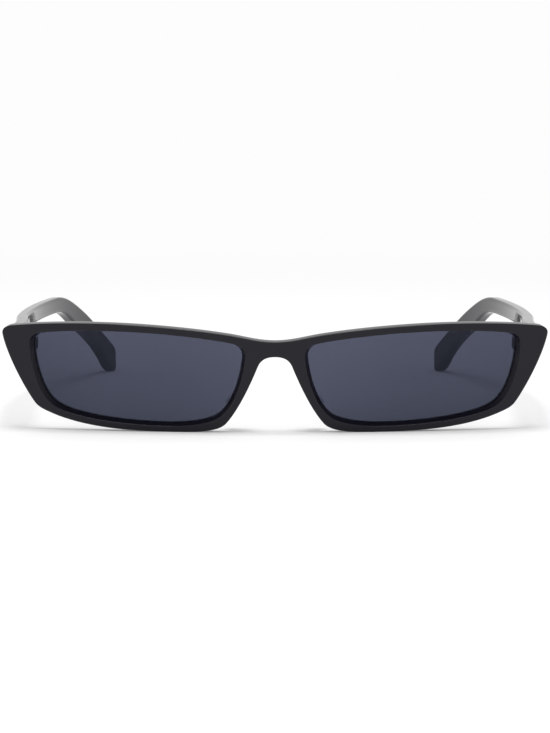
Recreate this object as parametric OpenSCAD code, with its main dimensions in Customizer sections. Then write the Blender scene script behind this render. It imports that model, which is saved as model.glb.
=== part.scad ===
// Slim dark sunglasses with a wrapped plastic front and folding temples.
// X runs along the front, Y runs from the front towards the ears, Z is up.
// The origin is on the table, under the middle of the opened glasses.

/* [Front] */
// Overall width of the front
front_w = 145; // [125:0.5:165]
// Height of the brow line at its crest
brow_h = 29; // [25:0.1:36]
// How far the outer top corner lies below the crest of the brow line
corner_drop = 1.6; // [0:0.1:4]
// Radius of the outer top corner
corner_r = 2.3; // [1:0.1:5]
// How far the top edge dips over the nose
bridge_dip = 4.1; // [1:0.1:6]
// Height of the bridge, from the arch to the top edge
bridge_h = 4.1; // [2.5:0.1:9]
// Distance from the middle to the toe of the rim beside the nose
nose_half_w = 12.9; // [11:0.1:14.5]
// Thickness of the front
front_t = 3.6; // [3.4:0.1:6]
// Radius of the rounded front and back edges
edge_r = 0.5; // [0.2:0.05:0.8]
// Radius that the front is bent to across the face
wrap_r = 300; // [160:5:600]
// Angle that the front leans forward over its lower rim
lean = 8; // [0:0.5:12]

/* [Lenses] */
// Distance between the lens openings across the nose
bridge_w = 16.5; // [14:0.1:20]
// Width of the front beside a lens, at its outer end
rim_side = 8; // [7:0.05:14]
// Width of the rim over a lens
rim_over = 1.9; // [1.5:0.1:6]
// Width of the rim under a lens
rim_under = 2.2; // [1.5:0.1:6]
// Depth of the groove that holds the lens
groove_d = 0.7; // [0.3:0.05:1]
// Thickness of the lens
lens_t = 1.6; // [1.2:0.1:1.9]
// Depth of the lens behind the front face
lens_set = 1.6; // [1.5:0.05:1.8]
// Clearance round the lens in its opening and its groove
lens_gap = 0.03; // [0.02:0.01:0.08]
// Depth of the bevel round the lens opening
bevel_d = 1.4; // [0.2:0.05:1.5]
// Width of the bevel beside the nose and the temple
bevel_side = 1.2; // [0.2:0.05:1.6]
// Width of the bevel under the lens
bevel_low = 0.6; // [0.1:0.05:1.2]
// Width of the bevel over the lens
bevel_top = 0.3; // [0.1:0.05:0.8]

/* [Nose pads] */
// Height of the middle of a nose pad
pad_h = 11; // [9:0.2:13]
// Length of a nose pad from its top to its bottom
pad_len = 11; // [8:0.2:13]
// How far a nose pad stands out behind the front
pad_out = 5; // [3.5:0.1:7]
// Radius of the rounded back of a nose pad
pad_r = 1.1; // [0.8:0.05:1.4]
// Thickness of the cement under a nose pad
pad_gap = 0.02; // [0.01:0.01:0.05]

/* [Hinges] */
// Radius of a hinge barrel
barrel_r = 1.3; // [1:0.05:1.7]
// Height of one hinge barrel
barrel_h = 0.88; // [0.6:0.02:1]
// Gap between two barrels
barrel_gap = 0.05; // [0.03:0.01:0.08]
// Clearance from a barrel to the plastic beside it
barrel_clear = 0.25; // [0.15:0.05:0.4]
// Radius of the hinge screw
screw_r = 0.6; // [0.4:0.05:0.8]
// Running clearance between the screw and a barrel
screw_gap = 0.03; // [0.02:0.01:0.08]
// Radius of the screw head
screw_head_r = 1.05; // [0.8:0.05:1.25]
// Height of the screw head
screw_head_h = 0.5; // [0.3:0.05:0.7]
// Width of the driver slot in the screw head
slot_w = 0.3; // [0.2:0.05:0.4]
// Thickness of a hinge plate
plate_t = 0.9; // [0.6:0.05:1.05]
// Length of the hinge plate let into the temple
plate_len = 7.5; // [5:0.1:14]
// Clearance round a hinge plate in its pocket
plate_gap = 0.02; // [0.01:0.01:0.05]
// Radius of an anchor pin behind a hinge plate
anchor_r = 0.4; // [0.3:0.05:0.6]
// Length of an anchor pin behind a hinge plate
anchor_len = 1.2; // [0.5:0.1:1.8]
// Distance from the hinge axis to the plate let into the temple
plate_start = 1.8; // [1.6:0.1:4]
// Length of the webs that carry the temple's barrels on their plate
web_len = 3; // [1.5:0.1:5]
// Thickness of the end piece between the front and the hinge barrels
end_t = 1.9; // [1.4:0.1:5]
// Reach of the end piece from the outer face of the temple inwards
end_reach = 7.7; // [7.2:0.1:10]
// Open joint between the end piece and the temple
joint_gap = 0.08; // [0.05:0.01:0.15]

/* [Temples] */
// Length of a temple from the hinge to its tip, measured straight back
temple_len = 129; // [110:0.5:150]
// How far the top edge of a temple lies below the top corner of the front
temple_drop = 0.55; // [0:0.05:3]
// Height of a temple at the hinge
root_h = 6; // [5.8:0.1:10]
// Height of a temple along its middle
arm_h = 4.5; // [3.4:0.1:8]
// Distance over which a temple tapers from the hinge to its middle height
taper_len = 50; // [20:1:80]
// Length of the part that drops behind the ear
ear_len = 47.5; // [36:0.5:60]
// Thickness of a temple at the hinge
root_t = 3.4; // [3.1:0.1:4.5]
// Thickness of a temple at its tip
tip_t = 2.9; // [2:0.1:4]
// Distance from the side of the front to the outer face of a temple at its hinge
temple_inset = 1.8; // [1:0.05:2]
// How far a temple bows outwards again behind its hinge plate
bow = 1.45; // [0:0.05:1.8]
// Length over which a temple bows outwards
bow_len = 24; // [20:1:30]
// Distance from the hinge to where a temple starts to bend inwards
straight_len = 37; // [30:1:80]
// Radius of the inward bend
bend_r = 230; // [130:5:300]
// Radius of the rounded edges of a temple
temple_edge = 0.7; // [0.3:0.05:1.2]
// Radius of the core wire
core_r = 0.55; // [0.3:0.05:0.65]
// Clearance round the core wire
core_gap = 0.03; // [0.03:0.01:0.06]
// How far the core wire ends in front of the tip, measured straight back
core_short = 28; // [24:1:60]

/* [Hidden] */

$fn = 48;
// A cut runs this far past the face it opens
past = 1;
frame_colour = [0.16, 0.16, 0.18];
lens_colour = [0.25, 0.26, 0.34, 0.7];
metal_colour = [0.72, 0.72, 0.74];

// Curves

// A point of a cubic curve through p[0] and p[3], pulled towards p[1] and p[2]
function bezier(p, t) =
  pow(1 - t, 3) * p[0] + 3 * t * pow(1 - t, 2) * p[1] + 3 * t * t * (1 - t) * p[2] + pow(t, 3) * p[3];

// A curve as steps points, without its last one
function curve(p, steps) = [for (i = [0 : steps - 1]) bezier(p, i / steps)];

// Several curves joined end to end, with the last point; each entry is [curve, steps]
function chain(parts) = concat(
  [for (part = parts) each curve(part[0], part[1])],
  [parts[len(parts) - 1][0][3]]
);

function heading(angle) = [cos(angle), sin(angle)];

// A smooth line through knots, each [point, heading, reach before it, reach after it, steps after it],
// where a reach is a share of the distance between two knots
function smooth(knots) = chain([
  for (i = [0 : len(knots) - 2])
    let (a = knots[i], b = knots[i + 1], d = norm(b[0] - a[0]))
    [[a[0], a[0] + a[3] * d * heading(a[1]), b[0] - b[2] * d * heading(b[1]), b[0]], a[4]]
]);

// An upper and a lower chain with the same ends, joined into one ring
function ring(upper, lower) = concat(upper, [for (i = [len(lower) - 2 : -1 : 1]) lower[i]]);

// A clockwise ring moved inwards by d, square to its own line
function inset(points, d) = let (n = len(points)) [
  for (i = [0 : n - 1])
    let (along = points[(i + 1) % n] - points[(i + n - 1) % n])
    points[i] + d * [along.y, -along.x] / norm(along)
];

// A closed solid through a row of rings, each of them clockwise as seen along the row. Both ends are closed
// by fans, so that the first point of an end ring has to see all the others
module lofted(rows) {
  n = len(rows[0]);
  last = len(rows) - 1;
  walls = [
    for (k = [0 : last - 1]) for (j = [0 : n - 1]) let (
      a = k * n + j,
      b = k * n + (j + 1) % n
    ) each [[a, a + n, b + n], [a, b + n, b]]
  ];
  start_cap = [for (j = [1 : n - 2]) [0, j, j + 1]];
  end_cap = [for (f = start_cap) [f[0] + last * n, f[2] + last * n, f[1] + last * n]];
  faces = concat(walls, start_cap, end_cap);
  polyhedron(points = [for (row = rows) each row], faces = faces, convexity = 6);
}

// Front outline

// The front is widest where its rounded edge ends, a little behind its face
half_w = front_w / 2 * wrap_r / (wrap_r - edge_r);
bridge_top = [0, brow_h - bridge_dip];
bridge_under = bridge_top - [0, bridge_h];
brow_start = [0.96 * nose_half_w, brow_h - 0.56 * bridge_dip];
brow_crest = [0.61 * half_w, brow_h];
top_corner = [half_w - corner_r, brow_h - corner_drop];
side_top = [half_w, brow_h - corner_drop - corner_r];
arch_side = [0.35 * nose_half_w, 0.873 * bridge_under.y];
toe = [nose_half_w, 0.09 * brow_h];
foot = [0.43 * half_w, 0];
heel_low = [0.83 * half_w, 0.143 * brow_h];
heel_side = [0.886 * half_w, 0.235 * brow_h];
arch_steps = 4;
flank_steps = 8;

// The top edge and the lower edge of one half, from the middle outwards
front_upper = smooth([
  [bridge_top, 0, 0, 0.36, 12],
  [brow_start, 8.5, 0.32, 0.31, 10],
  [brow_crest, 0, 0.32, 0.34, 12],
  [top_corner, -8, 0.32, 0.42, 5],
  [side_top, -99, 0.4, 0, 0]
]);
front_lower = smooth([
  [bridge_under, 0, 0, 0.39, arch_steps],
  [arch_side, -68, 0.42, 0.35, flank_steps],
  [toe, -49, 0.27, 0.2, 6],
  [foot, 0, 0.49, 0.34, 12],
  [heel_low, 22.5, 0.3, 0.37, 3],
  [heel_side, 55, 0.36, 0.3, 6],
  [side_top, 81, 0.24, 0, 0]
]);

function flip_x(p) = [-p.x, p.y];

// A half chain and its mirror image, from the right end to the left end
function both_halves(half) = concat([for (i = [len(half) - 1 : -1 : 1]) flip_x(half[i])], half);
front_ring = ring(both_halves(front_upper), both_halves(front_lower));

// Lens outline

opening_w = half_w - rim_side - bridge_w / 2;
opening_h = brow_h - rim_over - rim_under;
eye_x = (bridge_w + opening_w) / 2;
eye_h = rim_under + opening_h / 2;
lens_nose = [-0.98, 0.4];
lens_temple = [1, 0.5];

// The outline in a box that reaches from -1 to 1 each way, with the nose side on the left
unit_ring = ring(
  smooth([
    [lens_nose, 95, 0, 0.56, 4],
    [[-0.86, 0.775], 22.5, 0.25, 0.28, 12],
    [[0.84, 0.905], -14, 0.36, 0.3, 5],
    [lens_temple, -92, 0.7, 0, 0]
  ]),
  smooth([
    [lens_nose, -87, 0, 0.32, 6],
    [[-0.72, -0.83], -51, 0.2, 0.3, 3],
    [[-0.25, -1], 0, 0.4, 0.34, 6],
    [[0.62, -0.8], 30, 0.31, 0.32, 2],
    [[0.85, -0.52], 70, 0.41, 0.25, 3],
    [lens_temple, 88, 0.34, 0, 0]
  ])
);

// The lens outline, grown by a margin at each side of its box
function opening_ring(side, low, high) = [
  for (p = unit_ring) [
    p.x * (opening_w / 2 + side),
    eye_h + (high - low) / 2 + p.y * (opening_h / 2 + (high + low) / 2)
  ]
];

function grown_opening(by) = opening_ring(by, by, by);

// The wrapped front

// A point of the flat outline at depth d in the bent front, turned about the bend's axis
function on_wrap(p, d, turn) = let (a = asin(p.x / wrap_r) + turn)
  [(wrap_r - d) * sin(a), wrap_r - (wrap_r - d) * cos(a), p.y];

// A closed solid through rings at rising depths; each entry is [ring, depth]
module layered(layers, turn = 0) {
  n = len(layers[0][0]);
  last = len(layers) - 1;
  points = [for (layer = layers) for (p = layer[0]) on_wrap(p, layer[1], turn)];
  walls = [
    for (k = [0 : last - 1]) for (j = [0 : n - 1]) let (
      a = k * n + j,
      b = k * n + (j + 1) % n
    ) each [[a, a + n, b + n], [a, b + n, b]]
  ];
  // Each end is closed by a strip between the ring's upper line and its lower line
  cap = [
    for (j = [0 : n / 2 - 1]) let (low = (n - j) % n, low_next = n - j - 1)
      each concat(j > 0 ? [[j, low_next, low]] : [], j < n / 2 - 1 ? [[j, j + 1, low_next]] : [])
  ];
  far_cap = [for (f = cap) [f[0] + last * n, f[2] + last * n, f[1] + last * n]];
  polyhedron(points = points, faces = concat(walls, cap, far_cap), convexity = 6);
}

// A rounded edge is drawn with one middle line, at this share of its radius from both faces
edge_soft = 0.3;

// Where a point behind the flat outline comes to lie once the front leans
function leaned_y(depth, height) = depth * cos(lean) - height * sin(lean);
function leaned_z(depth, height) = depth * sin(lean) + height * cos(lean);
function wrap_depth(x) = wrap_r - sqrt(wrap_r * wrap_r - x * x);
// The rim's lowest line stands on the table
drop = min([for (p = front_lower) let (q = on_wrap(p, edge_r, 0)) leaned_z(q.y, q.z)]);

// Temple outline

corner_point = on_wrap(top_corner, 0, 0);
temple_top = leaned_z(corner_point.y, corner_point.z) - drop - temple_drop;
root_low = temple_top - root_h;
arm_low = temple_top - arm_h;
ear_start = temple_len - ear_len;

// A point of the ear piece, in a box that reaches from its start to the tip and from the table to its top
function ear(along, up) = [ear_start + along * ear_len, up * temple_top];

// The upper and the lower edge of a temple seen from the side, from the hinge to the tip
temple_upper = smooth([
  [[joint_gap, temple_top], 0, 0, 0.33, 9],
  [[taper_len, temple_top], 0, 0.33, 0.33, 6],
  [[ear_start, temple_top], 0, 0.33, 0.37, 6],
  [ear(0.46, 0.795), -23.5, 0.3, 0.33, 6],
  [ear(0.85, 0.41), -34, 0.3, 0.43, 6],
  [ear(1, 0.13), -90, 0.28, 0, 0]
]);
temple_lower = smooth([
  [[joint_gap, root_low], 0, 0, 0.33, 9],
  [[taper_len, arm_low], 0, 0.33, 0.33, 6],
  [[ear_start, arm_low], 0, 0.33, 0.38, 6],
  [ear(0.39, 0.61), -23.5, 0.3, 0.33, 6],
  [ear(0.83, 0.15), -45.5, 0.35, 0.38, 4],
  [ear(0.95, 0), 0, 0.24, 0.36, 2],
  [ear(1, 0.13), 90, 0.47, 0, 0]
]);
rings = len(temple_upper) - 1;

// Where the hinge stands, and how far all is moved to centre the glasses front to back

temple_x = half_w - temple_inset;
temple_in_x = temple_x - root_t;
hinge_x = temple_in_x - barrel_r - barrel_clear;
hinge_z = temple_top - root_h / 2;
hinge_y0 = leaned_y(wrap_depth(hinge_x) + front_t, hinge_z) + end_t + barrel_r + barrel_clear;
soft_edge = edge_r * edge_soft;
front_y0 = min([
  for (p = inset(front_ring, soft_edge))
    let (q = on_wrap(p, soft_edge, 0))
    leaned_y(q.y, q.z)
]);
// The temple's last ring, just short of its tip, is the rearmost face
tip_back = max(temple_upper[rings - 1].x, temple_lower[rings - 1].x);
shift_y = -(front_y0 + hinge_y0 + tip_back) / 2;
hinge_y = hinge_y0 + shift_y;

// The front

module place_front() {
  translate([0, shift_y, -drop]) rotate([lean, 0, 0]) children();
}

// The wearer's left is at +X and is drawn as it stands; the right is its mirror image
module on_side(side) {
  if (side == "left") children();
  else mirror([1, 0, 0]) children();
}

eye_turn = asin(eye_x / wrap_r);

module front_blank() {
  soft = inset(front_ring, soft_edge);
  layered([
    [inset(front_ring, edge_r), 0],
    [soft, soft_edge],
    [front_ring, edge_r],
    [front_ring, front_t - edge_r],
    [soft, front_t - soft_edge],
    [inset(front_ring, edge_r), front_t]
  ]);
}

// The opening is cut only this far past the back, so that it spares the end piece behind it
seat_past = 0.2;

// All that is cut for one lens: bevel, opening and groove
module lens_seat() {
  open = grown_opening(0);
  bevel = opening_ring(bevel_side, bevel_low, bevel_top);
  slope = opening_ring(
    bevel_side * (1 + past / bevel_d),
    bevel_low * (1 + past / bevel_d),
    bevel_top * (1 + past / bevel_d)
  );
  groove = grown_opening(groove_d);
  layered([
    [slope, -past],
    [bevel, 0],
    [open, bevel_d],
    [open, lens_set],
    [groove, lens_set + lens_t / 2],
    [open, lens_set + lens_t],
    [open, front_t + seat_past]
  ], eye_turn);
}

barrels_h = 5 * barrel_h + 4 * barrel_gap;
hinge_low = hinge_z - barrels_h / 2;
end_in_x = temple_x - end_reach;
end_back_y = hinge_y - barrel_r - barrel_clear;
// Plastic left beside the hinge plate at the inner end of the end piece
plate_margin = 0.5;
// How far the inner face of the end piece is cut away towards the front
end_slope = [1.7, 0.7];
end_chamfer = 0.4;
plate_in_x = end_in_x + plate_margin;
plate_out_x = hinge_x + barrel_r;

// The end piece behind the outer corner of the front, which carries the hinge
module end_piece() {
  sunk_y = end_back_y - end_t - front_t / 2;
  // The plan starts at its inner corner, beside the hinge barrels
  plan = [
    [temple_in_x, end_back_y],
    [temple_in_x, hinge_y],
    [temple_x - end_chamfer, hinge_y],
    [temple_x, hinge_y - end_chamfer],
    [temple_x, sunk_y],
    [end_in_x + end_slope.x, sunk_y],
    [end_in_x, end_back_y - end_t + end_slope.y],
    [end_in_x, end_back_y]
  ];
  // Each level is [height, how far the plan is drawn in there], from the top down
  levels = [
    [temple_top, edge_r],
    [temple_top - soft_edge, soft_edge],
    [temple_top - edge_r, 0],
    [root_low + edge_r, 0],
    [root_low + soft_edge, soft_edge],
    [root_low, edge_r]
  ];
  lofted([for (level = levels) [for (p = inset(plan, level[1])) [p.x, p.y, level[0]]]]);
}

// Metal left over and under the anchor pins on their plate
anchor_margin = 0.35;
anchor_dz = barrels_h / 2 - anchor_r - anchor_margin;

module front_plate(gap) {
  translate([plate_in_x - gap, end_back_y - plate_t - gap, hinge_low - gap])
    cube([plate_out_x - plate_in_x + 2 * gap, plate_t + gap + (gap > 0 ? past : 0), barrels_h + 2 * gap]);
  for (dz = [-anchor_dz, anchor_dz])
    translate([(plate_in_x + plate_out_x) / 2, end_back_y - plate_t, hinge_z + dz])
      rotate([90, 0, 0]) cylinder(r = anchor_r + gap, h = anchor_len + gap);
}

module front_frame() {
  color(frame_colour)
  difference() {
    union() {
      place_front() front_blank();
      on_side("left") end_piece();
      on_side("right") end_piece();
    }
    for (side = ["left", "right"]) on_side(side) {
      place_front() lens_seat();
      front_plate(plate_gap);
    }
  }
}

// A lens with a V edge, which sits in the V groove of its rim
module lens(side) {
  outline = grown_opening(-lens_gap);
  color(lens_colour)
  on_side(side) place_front() layered([
    [outline, lens_set],
    [grown_opening(groove_d - lens_gap), lens_set + lens_t / 2],
    [outline, lens_set + lens_t]
  ], eye_turn);
}

// The flank of the rim beside the nose, at a given height
flank = [for (i = [arch_steps + flank_steps : -1 : 0]) [front_lower[i].y, front_lower[i].x]];
function flank_x(h) = lookup(h, flank);

// A teardrop that is cemented behind the flank and splays outwards, smaller at its upper end
module nose_pad(side) {
  seat_r = wrap_r - front_t - pad_gap;
  seat_sides = 720;
  ball_sides = 20;
  splay = 0.1;
  upper_share = 0.8;
  upper_r = pad_r * upper_share;
  // Each end is [height, radius, how far it stands out]
  ends = [
    [pad_h - pad_len / 2 + pad_r, pad_r, pad_out],
    [pad_h + pad_len / 2 - upper_r, upper_r, pad_out * upper_share]
  ];
  color(frame_colour)
  on_side(side) place_front() intersection() {
    hull() for (end = ends) {
      h = end[0];
      r = end[1];
      out = end[2] - r;
      root_x = flank_x(h) + edge_r + r;
      translate([root_x, front_t, h]) sphere(r = r, $fn = ball_sides);
      translate([root_x + out * splay, front_t + out, h]) sphere(r = r, $fn = ball_sides);
    }
    translate([0, wrap_r, 0]) cylinder(r = seat_r, h = brow_h, $fn = seat_sides);
  }
}

// Temples

// The bow follows half a wave of a cosine, from 0 degrees behind the hinge plate to 180 degrees
function bow_phase(y) = 180 * max(0, min(1, (y - plate_start - plate_len) / bow_len));
function bow_out(y) = bow * (1 - cos(bow_phase(y))) / 2;
function bow_slope(y) = bow * sin(bow_phase(y)) * PI / 2 / bow_len;
// How far a temple has bent inwards at a distance behind the hinge, and its slope there
function bend_in(y) = let (d = max(0, y - straight_len)) bend_r - sqrt(bend_r * bend_r - d * d) - bow_out(y);
function bend_slope(y) = let (d = max(0, y - straight_len)) d / sqrt(bend_r * bend_r - d * d) - bow_slope(y);
// Thickness of a temple, measured square to its bent centre plane
function temple_t(y) = root_t + (tip_t - root_t) * y / temple_len;
// The tip is rounded off over its last few millimetres
tip_round = 3;
tip_least = 0.05;
function tip_taper(y) = let (d = max(0, y - temple_len + tip_round) / tip_round)
  sqrt(max(tip_least, 1 - d * d));

// A point of a temple: side 1 is its outer face and -1 its inner face, and a margin draws it in from there
function temple_point(yz, side, margin) = let (
  slant = sqrt(1 + pow(bend_slope(yz.x), 2)),
  mid = temple_t(yz.x) / 2,
  half = (mid - margin) * tip_taper(yz.x)
) [temple_x - bend_in(yz.x) + (side * half - mid) * slant, yz.x + hinge_y, yz.y];

// A temple's section, with each edge rounded by three points; an edge takes at most this share of the height
largest_edge = 0.45;
function temple_ring(i) = let (
  top = temple_upper[i],
  low = temple_lower[i],
  up = (top - low) / norm(top - low),
  c = min(temple_edge, norm(top - low) * largest_edge),
  k = 1 - cos(45)
) [
  temple_point(top, -1, c),
  temple_point(top, 1, c),
  temple_point(top - k * c * up, 1, k * c),
  temple_point(top - c * up, 1, 0),
  temple_point(low + c * up, 1, 0),
  temple_point(low + k * c * up, 1, k * c),
  temple_point(low, 1, c),
  temple_point(low, -1, c),
  temple_point(low + k * c * up, -1, k * c),
  temple_point(low + c * up, -1, 0),
  temple_point(top - c * up, -1, 0),
  temple_point(top - k * c * up, -1, k * c)
];

// A round wire through the middle of the temple
core_steps = 36;
core_sides = 10;
core_turn = 360 / core_sides;
// The wire's heading is taken between two points, this far before and after each ring
core_probe = 0.5;
function core_centre(y) = [
  temple_x - bend_in(y) - temple_t(y) / 2 * sqrt(1 + pow(bend_slope(y), 2)),
  y + hinge_y,
  (lookup(y, temple_upper) + lookup(y, temple_lower)) / 2
];
function wire_ring(y, r) = let (
  c = core_centre(y),
  ahead = core_centre(y + core_probe) - core_centre(y - core_probe),
  along = ahead / norm(ahead),
  side = cross(along, [0, 0, 1]) / norm(cross(along, [0, 0, 1])),
  up = cross(side, along)
) [for (a = [360 - core_turn : -core_turn : 0]) c + r * (cos(a) * side + sin(a) * up)];

module core_wire(r, from, to) {
  lofted([for (i = [0 : core_steps]) wire_ring(from + (to - from) * i / core_steps, r)]);
}

// The core wire lies in a channel that is open at the hinge and closed at its far end
core_start = 1;
core_end = temple_len - core_short;

// The hinge plate let into the inner face of a temple
module temple_plate(gap) {
  translate([temple_in_x - (gap > 0 ? past : 0), hinge_y + plate_start - gap, hinge_low - gap])
    cube([plate_t + gap + (gap > 0 ? past : 0), plate_len + 2 * gap, barrels_h + 2 * gap]);
}

module temple(side) {
  color(frame_colour)
  on_side(side) difference() {
    lofted([for (i = [0 : rings - 1]) temple_ring(i)]);
    temple_plate(plate_gap);
    core_wire(core_r + core_gap, -past, core_end + core_gap);
  }
}

module temple_core(side) {
  color(metal_colour)
  on_side(side) core_wire(core_r, core_start, core_end);
}

// Hinges

// The height at which barrel number i starts, counted from the lowest
function barrel_z(i) = hinge_low + i * (barrel_h + barrel_gap);

module barrel_row(numbers) {
  for (i = numbers) translate([0, 0, barrel_z(i)]) linear_extrude(barrel_h) children();
}

module screw_bore() {
  translate([hinge_x, hinge_y, hinge_low - past])
    cylinder(r = screw_r + screw_gap, h = barrels_h + 2 * past);
}

module front_hinge(side) {
  ledge = 0.3;
  color(metal_colour)
  on_side(side) difference() {
    union() {
      front_plate(0);
      barrel_row([0, 2, 4]) {
        translate([hinge_x, hinge_y]) circle(r = barrel_r);
        polygon([
          [plate_out_x, hinge_y],
          [plate_out_x, end_back_y - plate_t / 2],
          [plate_in_x + ledge, end_back_y - plate_t / 2],
          [plate_in_x + ledge, end_back_y],
          [hinge_x - barrel_r, hinge_y]
        ]);
      }
    }
    screw_bore();
  }
}

module temple_hinge(side) {
  web_end = plate_start + web_len;
  overlap = plate_t / 2;
  color(metal_colour)
  on_side(side) difference() {
    union() {
      temple_plate(0);
      barrel_row([1, 3]) {
        translate([hinge_x, hinge_y]) circle(r = barrel_r);
        polygon([
          [hinge_x - barrel_r, hinge_y],
          [temple_in_x, hinge_y + web_end],
          [temple_in_x + overlap, hinge_y + web_end],
          [temple_in_x + overlap, hinge_y + plate_start],
          [temple_in_x - plate_gap, hinge_y + plate_start],
          [temple_in_x - plate_gap, hinge_y + joint_gap],
          [hinge_x + barrel_r, hinge_y]
        ]);
      }
    }
    screw_bore();
  }
}

module hinge_screw(side) {
  top = hinge_low + barrels_h;
  color(metal_colour)
  on_side(side) translate([hinge_x, hinge_y, 0]) difference() {
    union() {
      translate([0, 0, hinge_low]) cylinder(r = screw_r, h = barrels_h);
      translate([0, 0, top]) cylinder(r = screw_head_r, h = screw_head_h);
    }
    translate([-screw_head_r - past, -slot_w / 2, top + screw_head_h / 2])
      cube([2 * (screw_head_r + past), slot_w, screw_head_h]);
  }
}

front_frame();
lens("right");  // lens_right
lens("left");  // lens_left
nose_pad("right");  // nose_pad_right
nose_pad("left");  // nose_pad_left
temple("right");  // temple_right
temple("left");  // temple_left
temple_core("right");  // temple_core_right
temple_core("left");  // temple_core_left
front_hinge("right");  // front_hinge_right
front_hinge("left");  // front_hinge_left
temple_hinge("right");  // temple_hinge_right
temple_hinge("left");  // temple_hinge_left
hinge_screw("right");  // hinge_screw_right
hinge_screw("left");  // hinge_screw_left
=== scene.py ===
# %% [markdown]
# # Slim dark sunglasses
# This lesson dresses a finished construction of a pair of sunglasses. The construction holds every piece at
# its real size, with its joints. Here each visible piece gets a finer surface and each finish a material.
# Blender could load the pieces as they are and only colour them. Their flat facets would show in black
# gloss, though, because gloss mirrors every kink, so the large pieces are drawn again from the same sizes.

import math

import bmesh
import bpy
import numpy as np
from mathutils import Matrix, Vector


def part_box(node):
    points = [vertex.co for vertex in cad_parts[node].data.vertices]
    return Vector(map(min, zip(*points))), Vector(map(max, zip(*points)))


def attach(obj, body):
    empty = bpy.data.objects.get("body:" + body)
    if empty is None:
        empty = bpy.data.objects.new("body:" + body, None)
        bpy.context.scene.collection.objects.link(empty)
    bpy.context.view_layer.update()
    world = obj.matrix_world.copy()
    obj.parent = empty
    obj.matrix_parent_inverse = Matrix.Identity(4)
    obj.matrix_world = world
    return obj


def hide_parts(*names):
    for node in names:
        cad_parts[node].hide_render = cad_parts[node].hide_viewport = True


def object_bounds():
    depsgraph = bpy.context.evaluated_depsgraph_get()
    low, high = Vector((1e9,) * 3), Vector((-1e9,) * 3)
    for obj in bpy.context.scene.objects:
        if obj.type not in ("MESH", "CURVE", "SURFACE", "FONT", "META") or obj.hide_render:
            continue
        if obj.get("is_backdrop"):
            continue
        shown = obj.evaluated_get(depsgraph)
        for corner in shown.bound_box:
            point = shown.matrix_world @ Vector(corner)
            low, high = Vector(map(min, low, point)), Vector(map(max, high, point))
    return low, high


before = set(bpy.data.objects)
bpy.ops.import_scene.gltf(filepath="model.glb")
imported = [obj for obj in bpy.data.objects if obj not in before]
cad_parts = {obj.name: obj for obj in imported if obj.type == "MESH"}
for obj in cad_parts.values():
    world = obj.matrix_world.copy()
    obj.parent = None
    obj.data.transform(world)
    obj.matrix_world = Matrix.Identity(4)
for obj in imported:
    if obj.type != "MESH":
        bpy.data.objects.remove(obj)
cad_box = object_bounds()

# %% [markdown]
# ## Sizes
# A few measured sizes drive everything. They are the ones that the construction uses, with three
# exceptions. The brow is 0.02 mm lower, so that its smooth curve stays inside the construction's box. The
# edges are rounded less in front and more behind. The bevel round a lens is narrower at the sides and runs
# down to the lens, which makes it as steep as the dark line in the photo asks for. Whatever can be read
# from the loaded pieces, such as the hinge line, is read and not typed again.

# %% Driving sizes, in metres
MM = 0.001
front_low, front_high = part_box("front_frame")
front_w = front_high.x - front_low.x
brow_h, corner_drop, corner_r = 28.98 * MM, 1.6 * MM, 2.3 * MM
bridge_dip, bridge_h, nose_half_w = 4.1 * MM, 4.1 * MM, 12.9 * MM
front_t, edge_r, wrap_r, lean = 3.6 * MM, 0.5 * MM, 300 * MM, math.radians(8)
bridge_w, rim_side, rim_over, rim_under = 16.5 * MM, 8 * MM, 1.9 * MM, 2.2 * MM
groove_d, lens_t, lens_set, lens_gap = 0.7 * MM, 1.6 * MM, 1.6 * MM, 0.03 * MM
bevel_side, bevel_low, bevel_top = 1.0 * MM, 0.6 * MM, 0.3 * MM
face_r, back_r = 0.3 * MM, 1.3 * MM
half_w = front_w / 2 * wrap_r / (wrap_r - edge_r)
opening_w = half_w - rim_side - bridge_w / 2
opening_h = brow_h - rim_over - rim_under
eye_x = (bridge_w + opening_w) / 2
eye_h = rim_under + opening_h / 2
print("front", round(front_w / MM, 2), "mm wide; lens opening", round(opening_w / MM, 2), "by",
      round(opening_h / MM, 2), "mm")

# %% [markdown]
# ## Smooth lines
# The outlines of a frame are drawn by hand with a few flowing curves. Here too a line is a short list of
# knots, each with a heading, and a cubic curve joins each knot to the next. Arcs alone would show flat spots
# where they meet, and a long list of points would be hard to change.

# %% Curves through knots
def bezier(p, t):
    """A cubic curve: its four points mixed with the weights (1-t)^3, 3t(1-t)^2, 3t^2(1-t) and t^3."""
    t = t[:, None]
    return ((1 - t) ** 3 * p[0] + 3 * t * (1 - t) ** 2 * p[1]
            + 3 * t ** 2 * (1 - t) * p[2] + t ** 3 * p[3])


def smooth_line(knots, fine):
    """A line through knots (point, heading, reach before, reach after, steps): each inner point of a cubic
    curve lies on a knot's heading, at that reach times the distance between the two knots."""
    pieces = []
    for a, b in zip(knots, knots[1:]):
        start, end = np.array(a[0], float), np.array(b[0], float)
        gap = np.linalg.norm(end - start)
        turns = [math.radians(k[1]) for k in (a, b)]
        leave, arrive = (np.array([math.cos(turn), math.sin(turn)]) for turn in turns)
        steps = a[4] * fine
        t = np.arange(steps) / steps
        pieces.append(bezier([start, start + a[3] * gap * leave, end - b[2] * gap * arrive, end], t))
    return np.vstack(pieces + [np.array([knots[-1][0]], float)])


def ring(upper, lower):
    """One closed line: the upper line followed by the lower line backwards, without its two shared ends."""
    return np.vstack([upper, lower[-2:0:-1]])


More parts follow.
